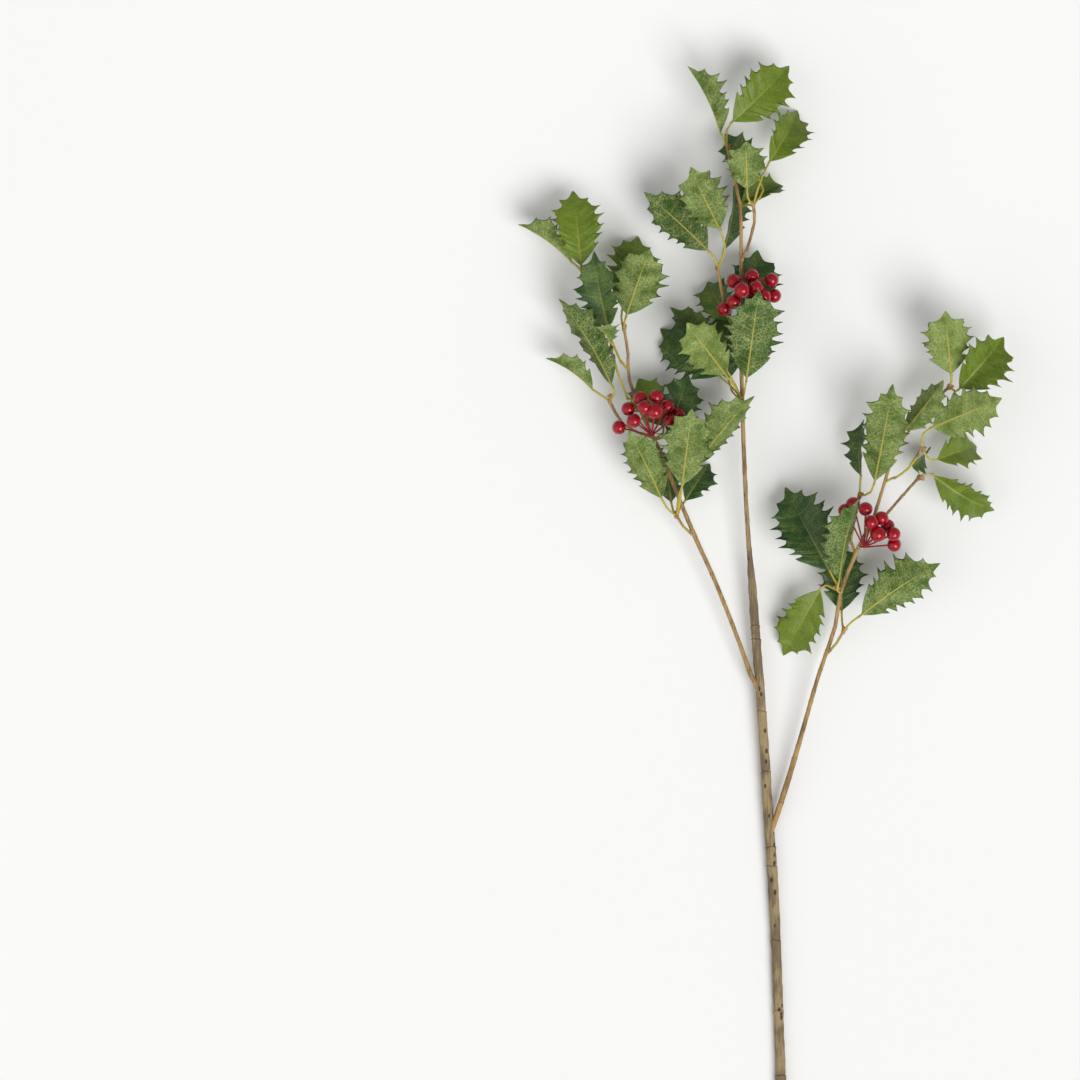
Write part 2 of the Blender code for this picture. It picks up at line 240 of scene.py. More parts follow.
class HollyBerrySettings(bpy.types.PropertyGroup):
    stalk_radius: length_property("Stalk radius", "Radius of a berry's stalk", 0.00065)
    plumpness: share_property("Plumpness", "Size of a berry against its frame", 1.03)
    stalk_rise: length_property("Stalk rise", "How far a berry's stalk arches", 0.0018)
    # The dark red is partly painted shade, on a berry's side towards its stalk, and partly random
    # blush; the red is the berry's own colour.
    red: colour_property("Red", "Ripe side of a berry", (0.31, 0.0003, 0.0095))
    dark_red: colour_property("Dark red", "Shaded side of a berry", (0.14, 0.0004, 0.006))
    stalk: colour_property("Stalk", "Berry stalks", (0.33, 0.004, 0.014))
    scar: colour_property("Scar", "Dot at the top of a berry", (0.03, 0.008, 0.005))


class HollyStageSettings(bpy.types.PropertyGroup):
    view_width: length_property("View width", "Width that the camera sees at the sprig", 0.8208)
    view_aside: length_property("View aside", "Camera's place right of the sprig's middle", -0.171)
    view_up: length_property("View up", "Camera's place beyond the sprig's middle", 0.0365)
    distance: length_property("Camera height", "Height of the camera over the sprig", 6.0)
    room_light: share_property("Room light", "Light that comes from every side", 0.34)
    floor: colour_property("Floor", "Pale floor", (0.86, 0.86, 0.85))
    floor_size: length_property("Floor size", "Width of the floor", 60.0)


# ---- Node trees ----


def maths(operation, swapped=False):
    """A method that adds a Math node, with its two values swapped for a reflected operator."""

    def method(wire, *other):
        values = (*other, wire) if swapped else (wire, *other)
        return wire.bench.add("ShaderNodeMath", {"operation": operation}, dict(enumerate(values)))

    return method


class Wire:
    """A node's output that Python's operators work on."""

    def __init__(self, bench, socket):
        self.bench = bench
        self.socket = socket

    __add__ = maths("ADD")
    __sub__ = maths("SUBTRACT")
    __mul__ = maths("MULTIPLY")
    __truediv__ = maths("DIVIDE")
    __pow__ = maths("POWER")
    __abs__ = maths("ABSOLUTE")
    __radd__ = maths("ADD", swapped=True)
    __rsub__ = maths("SUBTRACT", swapped=True)
    __rmul__ = maths("MULTIPLY", swapped=True)
    __rtruediv__ = maths("DIVIDE", swapped=True)
    # The part after the decimal point.
    part = maths("FRACT")
    sine = maths("SINE")
    least = maths("MINIMUM")
    most = maths("MAXIMUM")

    def from_whole(self):
        """How far it is from the nearest whole number."""
        return abs((self + 0.5).part() - 0.5)

    def fade(self, start, end):
        """0 up to start, 1 from end on, and a smooth step between. It falls if end comes first."""
        low, high, first, last = (start, end, 0.0, 1.0) if start < end else (end, start, 1.0, 0.0)
        return self.bench.add(
            "ShaderNodeMapRange",
            {"interpolation_type": "SMOOTHSTEP"},
            {"Value": self, "From Min": low, "From Max": high, "To Min": first, "To Max": last},
        )


class Bench:
    """Adds nodes to a tree."""

    def __init__(self, tree):
        self.tree = tree

    def add(self, kind, settings=None, values=None, output=0):
        """The chosen output of a new node. Its settings are made before its sockets are filled."""
        node = self.tree.nodes.new(kind)
        for name, value in (settings or {}).items():
            setattr(node, name, value)
        for key, value in (values or {}).items():
            if isinstance(value, Wire):
                self.tree.links.new(value.socket, node.inputs[key])
            else:
                node.inputs[key].default_value = value
        return Wire(self, node.outputs[output])

    def blend(self, factor, start, end):
        """A colour between two colours, which a Mix node takes in sockets 6 and 7."""
        start, end = (c if isinstance(c, Wire) else (*c, 1) for c in (start, end))
        values = {"Factor": factor, 6: start, 7: end}
        return self.add("ShaderNodeMix", {"data_type": "RGBA"}, values, 2)

    def join(self, *shapes):
        node = self.tree.nodes.new("GeometryNodeJoinGeometry")
        for shape in shapes:
            self.tree.links.new(shape.socket, node.inputs[0])
        return Wire(self, node.outputs[0])

    def parts(self, vector, axes="XYZ"):
        """The numbers that a vector holds along the axes."""
        return [self.add("ShaderNodeSeparateXYZ", {}, {0: vector}, axis) for axis in axes]

    def vector(self, x=0.0, y=0.0, z=0.0):
        return self.add("ShaderNodeCombineXYZ", {}, {0: x, 1: y, 2: z})

    def own(self, name, kind="FLOAT"):
        """A number or vector that each point of the mesh has under a name."""
        return self.add("GeometryNodeInputNamedAttribute", {"data_type": kind}, {"Name": name})

    def keep(self, shape, name, value):
        """A shape whose points have a number under a name."""
        settings = {"data_type": "FLOAT", "domain": "POINT"}
        values = {0: shape, "Name": name, "Value": value}
        return self.add("GeometryNodeStoreNamedAttribute", settings, values)

    def move(self, shape, **where):
        """A shape moved by an Offset or to a Position."""
        return self.add("GeometryNodeSetPosition", {}, {0: shape, **where})

    def paint(self, shape, material):
        return self.add("GeometryNodeSetMaterial", {}, {0: shape, "Material": material})

    def upright(self, axis):
        """The turn that carries Z to an axis."""
        return self.add("FunctionNodeAlignRotationToVector", {"axis": "Z"}, {"Vector": axis})

    def place(self, stretch=(1, 1, 1)):
        """Object coordinates, stretched."""
        spot = self.add("ShaderNodeTexCoord", output="Object")
        return self.add("ShaderNodeMapping", {}, {"Vector": spot, "Scale": stretch})

    def noise(self, place, size, detail=3.0, output="Fac"):
        """Soft noise whose blotches are about `size` metres across."""
        values = {"Vector": place, "Scale": 1 / size, "Detail": detail}
        return self.add("ShaderNodeTexNoise", {}, values, output)

    def cells(self, place, size, feature):
        """Cells about `size` metres across."""
        values = {"Vector": place, "Scale": 1 / size}
        return self.add("ShaderNodeTexVoronoi", {"feature": feature}, values, "Distance")

    def shaken(self, place, size, reach):
        """A place pushed about by noise, so that cells on it have crooked walls."""
        push = self.noise(place, size, 2.0, "Color")
        values = {0: push, 1: (reach, reach, reach), 2: place}
        return self.add("ShaderNodeVectorMath", {"operation": "MULTIPLY_ADD"}, values)

    def attribute(self, name):
        return self.add("ShaderNodeAttribute", {"attribute_name": name}, {}, "Fac")

    def bump(self, height, depth, strength):
        values = {"Height": height, "Distance": depth, "Strength": strength}
        return self.add("ShaderNodeBump", {}, values)


def new_material(name, sheen, build):
    """A Principled material. `sheen` holds its fixed values, and build(bench) its varying ones."""
    material = bpy.data.materials.new(name)
    material.use_nodes = True
    shader = material.node_tree.nodes["Principled BSDF"]
    for socket, value in sheen.items():
        shader.inputs[socket].default_value = value
    for socket, wire in build(Bench(material.node_tree)).items():
        material.node_tree.links.new(wire.socket, shader.inputs[socket])
    return material


# ---- Materials ----


def darker(colour, share):
    return [part * share for part in colour]


def leaf_material(name, settings, under):
    """One side of a leaf: tone that is partly painted shade and light, crackled net of veins, side
    veins and midrib.
    """
    deep, bright_colour = settings.deep_green, settings.bright_green
    if under:
        deep, bright_colour = settings.under_deep, settings.under_pale

    def build(bench):
        spot = bench.place()
        share = bench.attribute("share")
        outward = bench.attribute("outward")
        tone_and_shade = bench.attribute("tone_and_shade")
        count = bench.attribute("spine_count")
        from_rib = bench.attribute("from_rib")
        cloud = bench.noise(spot, 11 * MM, 2.0)
        grain = bench.noise(spot, 1.0 * MM, 4.0)
        vein = count.from_whole().fade(0.075, 0.01)
        vein = vein * outward.fade(0.95, 0.3) * count.fade(-0.4, 0.0)
        rib = (from_rib / (0.25 * MM + (1 - share) * 0.55 * MM)).fade(1.15, 0.55)
        rib = rib * share.fade(0.97, 0.45 if under else 0.2)
        fine = bench.cells(bench.shaken(spot, 1.0 * MM, 0.9 * MM), 1.2 * MM, "DISTANCE_TO_EDGE")
        coarse = bench.cells(bench.shaken(spot, 3 * MM, 2.5 * MM), 3.0 * MM, "DISTANCE_TO_EDGE")
        net = (fine.fade(0.13, 0.02) * 0.6).most(coarse.fade(0.07, 0.01))
        patchy = net * (cloud * 0.8 + grain * 0.5).fade(0.4, 0.8)
        # Painted shade and light: each leaf's tone, set leaf by leaf, blends from deep to bright
        # green, with random cloud noise over it.
        body = bench.blend((tone_and_shade + (cloud - 0.5) * 1.1).fade(-0.15, 1.1), deep, bright_colour)
        shaded = bench.blend(grain.fade(0.56, 0.36) * 0.22, body, darker(deep, 0.5))
        netted = bench.blend(patchy * (0.6 if under else 0.2), shaded, settings.net_colour)
        veined = bench.blend(vein * (0.28 if under else 0.12), netted, settings.rib_colour)
        ribbed = bench.blend(rib * (0.9 if under else 0.4), veined, settings.rib_colour)
        relief = vein * (0.8 if under else -0.3) + net * (0.5 if under else -0.3) + grain * 0.5
        return {
            "Base Color": ribbed,
            "Roughness": grain * 0.2 + (0.55 if under else 0.3),
            "Normal": bench.bump(relief, 0.3 * MM, 0.6),
        }

    sheen = {"Specular IOR Level": 0.12 if under else 0.35}
    return new_material(name, sheen, build)


def bark_material(settings):
    """Wood that runs from streaked bark through tan twigs to yellow-green leaf stalks."""

    def build(bench):
        spot = bench.place()
        age = bench.attribute("age")
        green = bench.attribute("green")
        crack = bench.attribute("crack")
        woody = 1 - green
        streaks = bench.noise(bench.place((1, 0.08, 1)), 1.1 * MM, 5.0)
        patches = bench.noise(bench.place((1, 0.5, 1)), 16 * MM, 2.0)
        grain = bench.noise(spot, 1.0 * MM, 3.0)
        scars = bench.cells(bench.place((1, 0.6, 1)), 7 * MM, "F1").fade(0.22, 0.13)
        flecks = bench.noise(bench.place((1, 0.35, 1)), 1.0 * MM, 2.0).fade(0.62, 0.72)
        streaked = (streaks + (patches - 0.5) * 1.8).fade(0.32, 0.68)
        bark = bench.blend(streaked, settings.bark, settings.bark_pale)
        mottled = (streaks + (patches - 0.5)).fade(0.3, 0.65)
        twig = bench.blend(mottled, settings.twig_dark, settings.twig)
        wood = bench.blend(age, twig, bark)
        marks = (scars * 0.9 * age + flecks * 0.45 * (age * 0.6 + 0.4)) * woody
        marked = bench.blend(marks, wood, settings.bark_dark)
        cracked = bench.blend(crack * 0.38, marked, settings.bark_dark)
        stalk = bench.blend(grain.fade(0.35, 0.7), settings.stalk, settings.stalk_dark)
        return {
            "Base Color": bench.blend(green, cracked, stalk),
            "Roughness": streaks * 0.15 + woody * 0.2 + 0.4,
            "Normal": bench.bump(streaks + flecks * 0.3 - scars * 0.6, 0.4 * MM, 0.8),
        }

    return new_material("bark", {"Specular IOR Level": 0.3}, build)


def bud_material(settings):
    """Brown bud scales with paler edges."""

    def build(bench):
        scales = bench.cells(bench.place(), 1.4 * MM, "F1")
        colour = bench.blend(scales.fade(0.2, 0.8), settings.bud, (0.42, 0.25, 0.08))
        return {"Base Color": colour, "Normal": bench.bump(scales, 0.2 * MM, 0.8)}

    return new_material("bud_scales", {"Roughness": 0.6}, build)


def berry_material(settings):
    """Glossy red skin with painted shade towards the stalk and random blush, and a small dry dot at
    the top.
    """

    def build(bench):
        pole = bench.attribute("pole")
        blush = bench.noise(bench.place(), 6 * MM, 3.0)
        pores = bench.noise(bench.place(), 0.5 * MM, 2.0)
        # Painted shade: darker red on the side towards the stalk, which faces into the cluster,
        # mixed with random blush.
        shade_and_blush = (pole * 0.25 + blush).fade(0.15, 0.6)
        skin = bench.blend(shade_and_blush, settings.dark_red, settings.red)
        dotted = bench.blend(pole.fade(0.984, 0.994) * 0.6, skin, settings.scar)
        return {
            "Base Color": dotted,
            "Roughness": pores * 0.12 + pole.fade(0.97, 0.99) * 0.4 + 0.12,
            "Normal": bench.bump(pores, 0.05 * MM, 0.25),
        }

    sheen = {"Specular IOR Level": 0.2, "Coat Weight": 0.5, "Coat Roughness": 0.04}
    return new_material("berry_skin", sheen, build)


def berry_stalk_material(settings):
    """Dull red, streaked with a darker red."""

    def build(bench):
        streaks = bench.noise(bench.place(), 1.5 * MM, 3.0)
        dark = darker(settings.stalk, 0.45)
        colour = bench.blend(streaks.fade(0.35, 0.8), settings.stalk, dark)
        return {"Base Color": colour, "Normal": bench.bump(streaks, 0.15 * MM, 0.6)}

    return new_material("berry_stalk", {"Roughness": 0.45}, build)


def floor_material(settings):
    """Pale and dull, with wide, faint patches."""

    def build(bench):
        patches = bench.noise(bench.place(), 0.9, 2.0).fade(0.2, 0.8)
        return {"Base Color": bench.blend(patches, settings.floor, darker(settings.floor, 0.985))}

    return new_material("pale_floor", {"Roughness": 0.9}, build)


# ---- Reading the frame ----


def points_of(mesh):
    """The points of a mesh, as rows."""
    return np.array([vertex.co for vertex in mesh.vertices], float)


def node_mesh(node):
    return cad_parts[node].data


def corners(node):
    """The distinct corners of a node's mesh, as rows."""
    return np.unique(points_of(node_mesh(node)).round(6), axis=0)


def surface(mesh):
    """A tree that finds the nearest point of a mesh, or the one that a ray meets."""
    faces = [polygon.vertices for polygon in mesh.polygons]
    return BVHTree.FromPolygons([vertex.co for vertex in mesh.vertices], faces)


def merged_copy(node):
    """A mesh of a node's faces with their shared corners merged."""
    shape = bmesh.new()
    shape.from_mesh(node_mesh(node))
    bmesh.ops.remove_doubles(shape, verts=shape.verts, dist=SAME_POINT)
    return shape


def ball_centres(node, radius, stretch, facets):
    """Centres of a node's faceted balls of one radius, stretched along Y.

    Every whole facet of such a ball puts its centre in the same spot, so a centre is a spot on
    which so many facets agree.
    """
    agreement = 0.12 * MM
    shape = merged_copy(node)
    squeeze = np.array((1, 1 / stretch, 1))
    spots = []
    for face in shape.faces:
        a, b, c = (np.array(vertex.co) * squeeze for vertex in face.verts)
        normal = np.cross(b - a, c - a)
        size = np.linalg.norm(normal)
        if size < 1e-9:
            continue
        aside = np.cross((b - a) @ (b - a) * (c - a) - (c - a) @ (c - a) * (b - a), normal)
        centre = a + aside / (2 * size**2)
        reach = radius**2 - (centre - a) @ (centre - a)
        if reach > 0:
            spots.append(centre - normal / size * math.sqrt(reach))
    shape.free()
    spots = np.array(spots)
    found = []
    while len(spots):
        close = np.linalg.norm(spots - spots[0], axis=1) < agreement
        if close.sum() >= facets:
            found.append(spots[close].mean(0) / squeeze)
        spots = spots[~close]
    return found


def start_of(node):
    """The middle of the cut face that a branch or twig starts with, and its first direction."""
    widest_cut = 4.5 * MM
    beyond_cut = (6 * MM, 26 * MM)
    points = corners(node)
    first = points[points[:, 1].argmin()]
    reach = np.linalg.norm(points - first, axis=1)
    middle = points[reach < widest_cut].mean(0)
    further = np.linalg.norm(points - middle, axis=1)
    ahead = points[(further > beyond_cut[0]) & (further < beyond_cut[1])].mean(0)
    return Vector(middle), Vector(ahead - middle).normalized()


# ---- Finishing pieces ----


def place_object(name, data):
    """A new object in the scene, at the origin."""
    obj = bpy.data.objects.new(name, data)
    bpy.context.scene.collection.objects.link(obj)
    return obj


def finish_piece(name, mesh, nodes):
    """Puts a finished mesh in the scene in place of its nodes, shaded smooth."""
    mesh.shade_smooth()
    piece = place_object(name, mesh)
    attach(piece, "root")
    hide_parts(*nodes)


def give(mesh, name, values):
    """Gives each point of a mesh a number or a vector under a name."""
    values = np.array(values, np.float32)
    kind, field = ("FLOAT", "value") if values.ndim == 1 else ("FLOAT_VECTOR", "vector")
    layer = mesh.attributes.new(name, kind, "POINT")
    layer.data.foreach_set(field, values.ravel())


def evaluated_mesh(obj):
    """The mesh that an object's modifiers make. The object is removed."""
    graph = bpy.context.evaluated_depsgraph_get()
    mesh = bpy.data.meshes.new_from_object(obj.evaluated_get(graph))
    bpy.data.objects.remove(obj)
    return mesh


def run_tree(mesh, tree, values):
    """The mesh that a Geometry Nodes tree makes of a mesh, with its inputs set by name."""
    obj = place_object("work", mesh)
    modifier = obj.modifiers.new("nodes", "NODES")
    modifier.node_group = tree
    for item in tree.interface.items_tree:
        if item.in_out == "INPUT" and item.name in values:
            modifier[item.identifier] = values[item.name]
    return evaluated_mesh(obj)


def new_tree(name, sizes, materials=()):
    """A Geometry Nodes tree with named inputs: (bench, wires by input name, output node)."""
    tree = bpy.data.node_groups.new(name, "GeometryNodeTree")
    face = tree.interface
    face.new_socket("Geometry", in_out="INPUT", socket_type="NodeSocketGeometry")
    face.new_socket("Geometry", in_out="OUTPUT", socket_type="NodeSocketGeometry")
    for size in sizes:
        face.new_socket(size, in_out="INPUT", socket_type="NodeSocketFloat")
    for material in materials:
        face.new_socket(material, in_out="INPUT", socket_type="NodeSocketMaterial")
    given = tree.nodes.new("NodeGroupInput")
    bench = Bench(tree)
    made = tree.nodes.new("NodeGroupOutput")
    return bench, {socket.name: Wire(bench, socket) for socket in given.outputs}, made


def end_tree(bench, geometry, made):
    """The tree, closed with Realize Instances. Materials are set before it."""
    real = bench.add("GeometryNodeRealizeInstances", {}, {0: geometry})
    bench.tree.links.new(real.socket, made.inputs[0])
    return bench.tree


# ---- Leaves ----


class Blade:
    """A leaf's place and bend, read from its node: foot, length, axes, width and height fit."""

    def __init__(self, node):
        points = corners(node)
        # The foot is the four corners that lie closest together, and it is widest across.
        apart = np.linalg.norm(points[:, None] - points[None], axis=2)
        group = apart[np.sort(apart, axis=1)[:, 3].argmin()].argsort()[:4]
        foot = points[group]
        pair = divmod(apart[np.ix_(group, group)].argmax(), 4)
        across = foot[pair[0]] - foot[pair[1]]
        self.foot = foot.mean(0)
        tip = points[np.linalg.norm(points - self.foot, axis=1).argmax()]
        self.length = np.linalg.norm(tip - self.foot)
        self.along = (tip - self.foot) / self.length
        across -= self.along * (across @ self.along)
        self.across = across / np.linalg.norm(across)
        self.face = np.cross(self.along, self.across)
        share, side, height = self.flat(points)
        self.fit = np.linalg.lstsq(self.terms(share, side), height, rcond=None)[0]
        # Turned over where that makes it fold upwards.
        if self.fit[3] < 0:
            self.across = -self.across
            self.face = -self.face
            self.fit = self.fit * np.array((-1, -1, -1, -1, 1, 1))
        self.half_width = np.abs(side).max()

    def flat(self, points):
        """Each point's share of the length, its place across, and its height."""
        reach = points - self.foot
        return reach @ self.along / self.length, reach @ self.across, reach @ self.face

    @staticmethod
    def terms(share, side):
        """What the height is fitted with, in the order of BENDS."""
        share, side = np.broadcast_arrays(share, side)
        rows = (np.ones_like(share), share, share**2, np.abs(side), side, share * side)
        return np.stack(rows, axis=-1)

    def matrix(self):
        """Carries a blade that lies along X, with its foot at the origin, to its place."""
        turn = Matrix((self.along, self.across, self.face)).transposed().to_4x4()
        return Matrix.Translation(self.foot) @ turn


def settle(mesh, soft):
    """Keeps a mesh over the floor by flattening what is lower than `soft`."""
    floor = CAD_BOX[0].z
    for vertex in mesh.vertices:
        above = vertex.co.z - floor
        if above < soft:
            vertex.co.z = floor + soft * math.exp(above / soft - 1)


# Names of a blade's height terms: 1, share, share squared, |side|, side, share times side.
BENDS = ("Lift", "Slope", "Arch", "Fold", "Tilt", "Twist")


def leaf_tree(settings, upper, under):
    """A spiny, quilted blade that lies along X with its foot at the origin."""
    names = ("Length", "Half width", "Spines", "Tone and shade", "Seed", "Curl", *BENDS)
    bench, given, made = new_tree("leaf", names)
    spines = given["Spines"]
    # One row more than steps, and a half because the socket cuts the fraction off.
    rows = (spines + 1 + NECK_SPAN) * ROWS_PER_SPINE + 1.5
    size = {"Size X": 1.0, "Size Y": 2.0, "Vertices X": rows, "Vertices Y": BLADE_POINTS_ACROSS}
    grid = bench.add("GeometryNodeMeshGrid", {}, size)
    x, spread = bench.parts(bench.add("GeometryNodeInputPosition"), "XY")
    outward = abs(spread)
    # 0 on one side of the midrib and 1 on the other.
    right = (spread * 1000 + 0.5).fade(0.0, 1.0)

    # Counts the spines from the foot of the blade: 0 is the first one, and the last is the tip.
    count = (x + 0.5) * (spines + 1 + NECK_SPAN) - 1 - NECK_SPAN
    first = settings.first_spine
    spread_out = (count.most(0.0) / spines) ** settings.spine_spread
    share = ((count + 1) * first).least(first) + spread_out * (1 - first)
    inside = share.most(0.0)
    toothed = count.fade(-0.4, 0.0)
    last = (count - spines).fade(-1.05, -0.95)

    def drift(speed, offset):
        """Slow random change along an edge, from about -1 to 1, unlike for each edge and leaf."""
        where = count * speed + given["Seed"] * 17.3 + right * 5.7 + offset
        values = {"W": where, "Scale": 1.0}
        noise = bench.add("ShaderNodeTexNoise", {"noise_dimensions": "1D"}, values)
        return (noise - 0.5) * 4

    # The edge dips between neighbouring spines, deepest a little before the middle.
    dip = (count.part() ** 0.8 * math.pi).sine() ** 0.8 * count.fade(-0.01, 0.0)
    body = (inside**1.12 * math.pi).sine().most(0.0) ** 0.66
    body = body.least((1 - share) * settings.tip_slope)
    depth = settings.scallop * (1 + last * 0.25 + drift(0.8, 3.0) * 0.3)
    needle = (1 - dip) ** 7 * 0.05 * toothed
    reach = body * (1 - dip * depth + needle + drift(0.9, 0.0) * 0.1 * toothed)
    neck = share.fade(0.14, 0.0) * settings.neck_radius
    half = (reach * given["Half width"]).most(neck)
    lean = dip**1.5 * settings.forward * (1 + last)
    edge_share = share - lean + drift(0.9, 8.0) * 0.018 * toothed * (1 - inside)
    middle_share = share - inside * (1 - inside) * 4 * settings.vein_lean
    along = middle_share + (edge_share - middle_share) * outward**1.4
    side = spread * half

    # The bend that the frame gives, with a rounded fold.
    round_fold = (side * side + FOLD_ROUNDING**2) ** 0.5 - FOLD_ROUNDING
    fold = round_fold * (given["Curl"] * (settings.fold_gain - 1) + 1)
    terms = (1.0, along, along * along, fold, side, along * side)
    height = sum(given[name] * term for name, term in zip(BENDS, terms))

    # Quilting between the veins, spines that turn up and down, a slow curl, and rolled margins.
    quilt = (count * math.pi).sine() ** 2 * (outward * math.pi).sine()
    quilt = quilt * (1 + drift(1.3, 30.0)) * toothed
    broad = abs(side) / given["Half width"]
    wave = (count * math.pi + given["Seed"]).sine() * outward**3 * toothed * (1 - last) * body
    curl = (along * 5.5 + given["Seed"] * 2.1 + right * 2.0).sine() * broad**2
    crumple = drift(0.9, 20.0) * broad
    turned = wave * 0.5 + curl * 1.4 + crumple
    rolled = drift(0.0, 40.0) * broad**2.2 * inside.fade(0.0, 0.35)
    roll = rolled * given["Half width"] * settings.margin_roll
    curled = (turned * settings.edge_wave + roll) * given["Curl"]
    height = height + quilt * settings.quilting + curled

    # The skin on either side: thin at the edge, with a midrib and veins, and round at the neck.
    slim = (1 - inside) ** 0.5 * (x + 0.5).fade(0.0, 0.03)
    skin = (1 - outward**8) * settings.thickness * 0.5
    rib_width = 0.35 * MM + (1 - inside) * 0.55 * MM
    rib = 1 / (1 + (side / rib_width) ** 2 * 1.5) ** 2 * (1 - outward**4)
    vein = count.from_whole().fade(0.11, 0.0) * outward.fade(1.0, 0.1) * toothed
    round_neck = share.fade(0.02, -0.02) * (1 - outward * outward).most(0.0) ** 0.5
    raised = rib * (0.25 + (1 - inside) * 0.75) * settings.rib + vein * settings.rib * 0.3
    top = (skin - rib * settings.rib * 0.2 + round_neck * settings.neck_radius * 0.7) * slim
    bottom = (skin + raised + round_neck * settings.neck_radius * 0.3) * slim

    grid = bench.keep(grid, "share", along)
    grid = bench.keep(grid, "outward", outward)
    grid = bench.keep(grid, "spine_count", count)
    grid = bench.keep(grid, "from_rib", abs(side))
    # Each leaf's tone, partly its own green and partly painted shade and light, for its materials.
    grid = bench.keep(grid, "tone_and_shade", given["Tone and shade"])
    long = along * given["Length"]
    above = bench.move(grid, Position=bench.vector(long, side, height + top))
    below = bench.move(grid, Position=bench.vector(long, side, height + bottom * -1))
    below = bench.add("GeometryNodeFlipFaces", {}, {0: below})
    blade = bench.join(bench.paint(above, upper), bench.paint(below, under))
    values = {0: blade, "Distance": 2 * SAME_POINT}
    return end_tree(bench, bench.add("GeometryNodeMergeByDistance", {}, values), made)


class HOLLY_OT_leaves(bpy.types.Operator):
    """Grows a spiny, veined blade over every leaf of the frame"""

    bl_idname = "holly.leaves"
    bl_label = "Grow Leaves"

    def execute(self, context):
        settings = context.scene.holly_leaves
        upper = leaf_material("leaf_upper", settings, False)
        under = leaf_material("leaf_under", settings, True)
        tree = leaf_tree(settings, upper, under)
        for number, node in enumerate(LEAVES):
            blade = Blade(node)
            spines = round(blade.length / settings.spine_gap)
            values = {
                "Length": blade.length,
                "Half width": blade.half_width * settings.fullness,
                "Spines": min(MOST_SPINES, max(FEWEST_SPINES, spines)),
                "Tone and shade": LEAF_TONES_AND_SHADE.get(node, MIDDLE_TONE),
                "Seed": FIRST_SEED + number,
                "Curl": CALM_CURL if node in CALM_LEAVES else 1.0,
                **dict(zip(BENDS, blade.fit)),
            }
            mesh = run_tree(bpy.data.meshes.new(node), tree, values)
            mesh.transform(blade.matrix())
            settle(mesh, LEAF_SETTLING)
            finish_piece(node.replace("leaf", "blade", 1), mesh, [node])
        return {"FINISHED"}


# ---- Wood ----


def add_collar(shape, node):
    """Adds a foot that runs a branch or twig down along the wood that it grows from."""
    start, ahead = start_of(node)
    parent = surface(node_mesh(GROWS_FROM[node]))
    around = corners(node) - np.array(start)
    spread = np.linalg.norm(around, axis=1)
    radius = np.median(spread[(around @ np.array(ahead) < 0.5 * MM) & (spread < 4 * MM)])
    beside, out, _, _ = parent.find_nearest(start - ahead * radius * 3.5)
    beside += out * radius * 0.3
    landing, out, _, _ = parent.find_nearest(start - ahead * radius * 7.5)
    landing -= out * radius * 0.8
    top = start + ahead * 2 * MM
    turn = (top - landing).to_track_quat("Z", "Y")
    rings = []
    for t in np.linspace(0, 1, COLLAR_RINGS):
        middle = top * (1 - t) ** 2 + beside * 2 * t * (1 - t) + landing * t**2
        wide = radius * (0.93 + 0.35 * t - 0.55 * t**2)
        ring = []
        for step in range(COLLAR_SIDES):
            angle = 2 * math.pi * step / COLLAR_SIDES
            spoke = Vector((math.cos(angle), math.sin(angle), 0)) * wide
            ring.append(shape.verts.new(middle + turn @ spoke))
        rings.append(ring)
    for ring, following in zip(rings, rings[1:]):
        for step in range(COLLAR_SIDES):
            after = (step + 1) % COLLAR_SIDES
            shape.faces.new((ring[step], following[step], following[after], ring[after]))
    shape.faces.new(rings[0])
    shape.faces.new(rings[-1][::-1])


def bark_tree():
    """Furrows along the wood and a swollen, cracked lip at each ring."""
    bench, given, made = new_tree("bark", ("Furrow", "Ring", "Plump"), ["Bark"])
    spot = bench.add("GeometryNodeInputPosition")
    along_grain = {0: spot, 1: (1, 0.12, 1)}
    long_spot = bench.add("ShaderNodeVectorMath", {"operation": "MULTIPLY"}, along_grain)
    grain = bench.noise(long_spot, 1 / 650)
    knots = bench.noise(spot, 1 / 90, 1.0)
    rough = (grain - 0.5) * 2 + (knots - 0.5) * 2.4
    furrows = rough * given["Furrow"] * (bench.own("age") * 0.8 + 0.2) * (1.15 - bench.own("green"))
    height = furrows + given["Ring"] * (bench.own("lip") - bench.own("crack")) + given["Plump"]
    normal = bench.add("GeometryNodeInputNormal")
    push = bench.add("ShaderNodeVectorMath", {"operation": "SCALE"}, {0: normal, "Scale": height})
    moved = bench.move(given["Geometry"], Offset=push)
    return end_tree(bench, bench.paint(moved, given["Bark"]), made)


def thickness(mesh):
    """How thick a mesh is under each of its points, evened out over their neighbours."""
    shape = surface(mesh)
    thick = np.zeros(len(mesh.vertices))
    for vertex in mesh.vertices:
        inward = -vertex.normal
        away = shape.ray_cast(vertex.co + inward * 0.1 * MM, inward)[3]
        thick[vertex.index] = min(away or 0.0, THICKEST_WOOD)
    ends = np.empty(2 * len(mesh.edges), int)
    mesh.edges.foreach_get("vertices", ends)
    ends = np.concatenate((ends.reshape(-1, 2), ends.reshape(-1, 2)[:, ::-1]))
    neighbours = np.bincount(ends[:, 0], minlength=len(thick))
    for _ in range(6):
        around = np.bincount(ends[:, 0], weights=thick[ends[:, 1]], minlength=len(thick))
        thick = (thick + around) / (1 + neighbours)
    return thick


def ring_places(node):
    """Shares of a node's length at which its bark has a ring: the main stem's, or a rule's."""
    if node == "main_stem":
        return STEM_RINGS
    low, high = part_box(node)
    count = max(2, round((high - low).length / TWIG_RING_GAP))
    steps = range(count)
    return [(step + 0.5 + 0.3 * math.sin(2.4 * step + len(node))) / count for step in steps]


